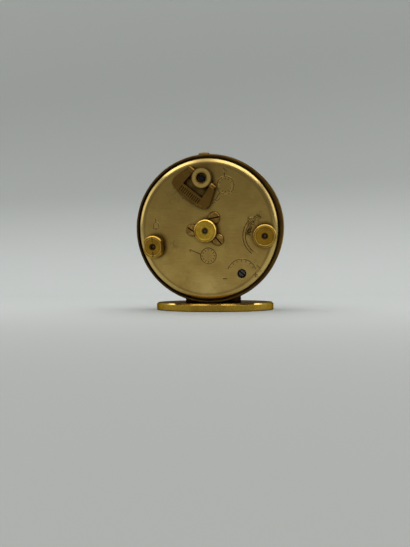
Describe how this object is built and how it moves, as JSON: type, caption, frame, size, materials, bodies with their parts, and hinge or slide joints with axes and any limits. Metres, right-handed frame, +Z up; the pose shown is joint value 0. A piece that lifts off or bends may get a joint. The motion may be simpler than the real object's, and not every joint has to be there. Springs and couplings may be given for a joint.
{
  "type": "travel clock",
  "caption": "Small round brass travel alarm clock leaning back on an oval foot, with a folding winding key, setting knobs and a full movement inside",
  "frame": {"origin": "middle of the foot's underside, on the surface that the clock stands on", "axes": "+Z up, the dial faces -Y and leans back, the back cover with the knobs faces +Y, +X is to the right seen from the dial side"},
  "size_m": [0.0548, 0.0334, 0.0587],
  "materials": {
    "cover_brass": "satin lacquered brass, aged",
    "case_brass": "brushed lacquered brass, darkened",
    "foot_brass": "satin lacquered brass",
    "knob_brass": "turned brass",
    "key_bronze": "dark toned brass",
    "screw_bronze": "dark toned screw heads",
    "movement_brass": "brushed plate brass",
    "wheel_brass": "polished brass",
    "arbor_steel": "ground steel",
    "screw_steel": "dark steel",
    "spring_steel": "blued spring steel",
    "hand_black": "black lacquer",
    "alarm_hand_brass": "polished brass",
    "dial_cream": "matt cream paint",
    "glass": "clear"
  },
  "bodies": {
    "case": {"foot_plate": "foot_brass", "foot_screws": "screw_bronze", "saddle": "case_brass", "foot_nut": "movement_brass", "case_band": "case_brass", "bezel": "case_brass", "glass": "glass", "dial_ring": "movement_brass", "dial": "dial_cream", "dial_feet": "movement_brass", "back_cover": "cover_brass", "cover_posts": "movement_brass", "cover_screws": "screw_bronze", "minute_stud": "arbor_steel", "idler_stud": "arbor_steel", "front_plate": "movement_brass", "back_plate": "movement_brass", "pillars": "movement_brass", "pillar_screws": "screw_steel", "click": "arbor_steel", "hairspring": "spring_steel", "balance_cock": "movement_brass", "cock_screws": "screw_steel", "sounding_post": "arbor_steel"},
    "winding": {"winding_post": "key_bronze", "winding_arbor": "arbor_steel", "key_pins": "arbor_steel"},
    "key": {"winding_key": "key_bronze"},
    "ratchet": {"barrel_arbor": "arbor_steel", "ratchet_wheel": "arbor_steel", "ratchet_screw": "screw_steel"},
    "barrel_drum": {"barrel": "movement_brass", "barrel_lid": "movement_brass", "mainspring": "spring_steel"},
    "centre_work": {"centre_wheel": "wheel_brass"},
    "third_work": {"third_wheel": "wheel_brass"},
    "fourth_work": {"fourth_wheel": "wheel_brass"},
    "escape_work": {"escape_wheel": "wheel_brass"},
    "pallets": {"pallet_lever": "arbor_steel"},
    "balance": {"balance_wheel": "wheel_brass"},
    "hand_setting": {"set_knob": "knob_brass", "centre_arbor": "arbor_steel", "cannon_pinion": "wheel_brass", "minute_hand": "hand_black"},
    "minute_work": {"minute_wheel": "wheel_brass"},
    "hour_work": {"hour_wheel": "wheel_brass", "hour_hand": "hand_black"},
    "alarm_setting": {"alarm_set_knob": "knob_brass", "alarm_set_arbor": "arbor_steel"},
    "alarm_idling": {"alarm_idler": "wheel_brass"},
    "alarm_dial": {"alarm_wheel": "wheel_brass", "alarm_hand": "alarm_hand_brass"},
    "alarm_switch": {"alarm_switch_knob": "knob_brass", "alarm_switch_arbor": "arbor_steel"},
    "button": {"stop_button": "case_brass"},
    "lever": {"stop_lever": "arbor_steel"},
    "regulating": {"regulator_screw": "screw_steel"},
    "index": {"regulator_index": "arbor_steel"},
    "hammer": {"alarm_hammer": "arbor_steel"}
  },
  "joints": [
    {"name": "winding_turn", "type": "hinge", "parent": "case", "child": "winding", "pos_m": [0.0008, 0.01448, 0.04791], "axis": [0, 0.989, -0.1478], "range_deg": [-1440, 0]},
    {"name": "ratchet_turn", "type": "hinge", "parent": "case", "child": "ratchet", "pos_m": [0.00824, 0.01319, 0.03924], "axis": [0, 0.989, -0.1478], "range_deg": [0, 768.01]},
    {"name": "key_fold", "type": "hinge", "parent": "winding", "child": "key", "pos_m": [0.0008, 0.01868, 0.04728], "axis": [0.766, 0.095, 0.6357], "range_deg": [0, 170]},
    {"name": "fourth_turn", "type": "hinge", "parent": "case", "child": "fourth_work", "pos_m": [0.00437, 0.0059, 0.01618], "axis": [0, 0.989, -0.1478], "continuous": true},
    {"name": "third_turn", "type": "hinge", "parent": "case", "child": "third_work", "pos_m": [-0.00123, 0.00672, 0.02172], "axis": [0, 0.989, -0.1478], "continuous": true},
    {"name": "centre_turn", "type": "hinge", "parent": "case", "child": "centre_work", "pos_m": [0, 0.00802, 0.03037], "axis": [0, 0.989, -0.1478], "continuous": true},
    {"name": "barrel_turn", "type": "hinge", "parent": "case", "child": "barrel_drum", "pos_m": [0.00824, 0.00943, 0.0398], "axis": [0, 0.989, -0.1478], "continuous": true},
    {"name": "escape_turn", "type": "hinge", "parent": "case", "child": "escape_work", "pos_m": [-0.00214, 0.00555, 0.01383], "axis": [0, 0.989, -0.1478], "continuous": true},
    {"name": "pallet_rock", "type": "hinge", "parent": "case", "child": "pallets", "pos_m": [-0.00644, 0.00555, 0.01387], "axis": [0, 0.989, -0.1478], "range_deg": [-2, 2]},
    {"name": "balance_swing", "type": "hinge", "parent": "case", "child": "balance", "pos_m": [-0.0096, 0.00639, 0.01949], "axis": [0, 0.989, -0.1478], "range_deg": [-70, 70], "stiffness_Nm_per_rad": 0.0000012},
    {"name": "hand_setting_turn", "type": "hinge", "parent": "case", "child": "hand_setting", "pos_m": [0, 0.00802, 0.03037], "axis": [0, 0.989, -0.1478], "continuous": true},
    {"name": "minute_work_turn", "type": "hinge", "parent": "case", "child": "minute_work", "pos_m": [0.00246, 0.00902, 0.03706], "axis": [0, 0.989, -0.1478], "continuous": true},
    {"name": "hour_work_turn", "type": "hinge", "parent": "case", "child": "hour_work", "pos_m": [0, 0.00802, 0.03037], "axis": [0, 0.989, -0.1478], "continuous": true},
    {"name": "alarm_setting_turn", "type": "hinge", "parent": "case", "child": "alarm_setting", "pos_m": [-0.0207, 0.00766, 0.028], "axis": [0, 0.989, -0.1478], "continuous": true},
    {"name": "alarm_idler_turn", "type": "hinge", "parent": "case", "child": "alarm_idling", "pos_m": [-0.01274, 0.0078, 0.02891], "axis": [0, 0.989, -0.1478], "continuous": true},
    {"name": "alarm_dial_turn", "type": "hinge", "parent": "case", "child": "alarm_dial", "pos_m": [0, 0.00802, 0.03037], "axis": [0, 0.989, -0.1478], "continuous": true},
    {"name": "alarm_switch_turn", "type": "hinge", "parent": "case", "child": "alarm_switch", "pos_m": [0.0191, 0.00726, 0.02533], "axis": [0, 0.989, -0.1478], "range_deg": [0, 90]},
    {"name": "stop_button_push", "type": "slide", "parent": "case", "child": "button", "axis": [0, -0.1478, -0.989], "range_m": [0, 0.0008], "stiffness_N_per_m": 200},
    {"name": "stop_lever_rock", "type": "hinge", "parent": "case", "child": "lever", "pos_m": [-0.0055, 0.01106, 0.05075], "axis": [0, 0.989, -0.1478], "range_deg": [0, 8]},
    {"name": "regulator_screw_turn", "type": "hinge", "parent": "case", "child": "regulating", "pos_m": [-0.0122, 0.0057, 0.01485], "axis": [0, 0.989, -0.1478], "range_deg": [-45, 45]},
    {"name": "regulator_index_turn", "type": "hinge", "parent": "case", "child": "index", "pos_m": [-0.0096, 0.00639, 0.01949], "axis": [0, 0.989, -0.1478], "range_deg": [-4, 4]},
    {"name": "alarm_hammer_rock", "type": "hinge", "parent": "case", "child": "hammer", "pos_m": [-0.0135, 0.0092, 0.03829], "axis": [0, 0.989, -0.1478], "range_deg": [0, 8]}
  ],
  "couplings": [
    {"joint": "ratchet_turn", "follows": "winding_turn", "ratio": -0.53333},
    {"joint": "third_turn", "follows": "fourth_turn", "ratio": -0.125},
    {"joint": "centre_turn", "follows": "fourth_turn", "ratio": 0.016667},
    {"joint": "barrel_turn", "follows": "fourth_turn", "ratio": -0.0027778},
    {"joint": "escape_turn", "follows": "fourth_turn", "ratio": -10},
    {"joint": "minute_work_turn", "follows": "hand_setting_turn", "ratio": -0.33333},
    {"joint": "hour_work_turn", "follows": "hand_setting_turn", "ratio": 0.083333},
    {"joint": "alarm_idler_turn", "follows": "alarm_setting_turn", "ratio": -0.60714},
    {"joint": "alarm_dial_turn", "follows": "alarm_setting_turn", "ratio": 0.38636},
    {"joint": "stop_lever_rock", "follows": "stop_button_push", "rad_per_m": 149.25},
    {"joint": "regulator_index_turn", "follows": "regulator_screw_turn", "ratio": 0.078}
  ]
}
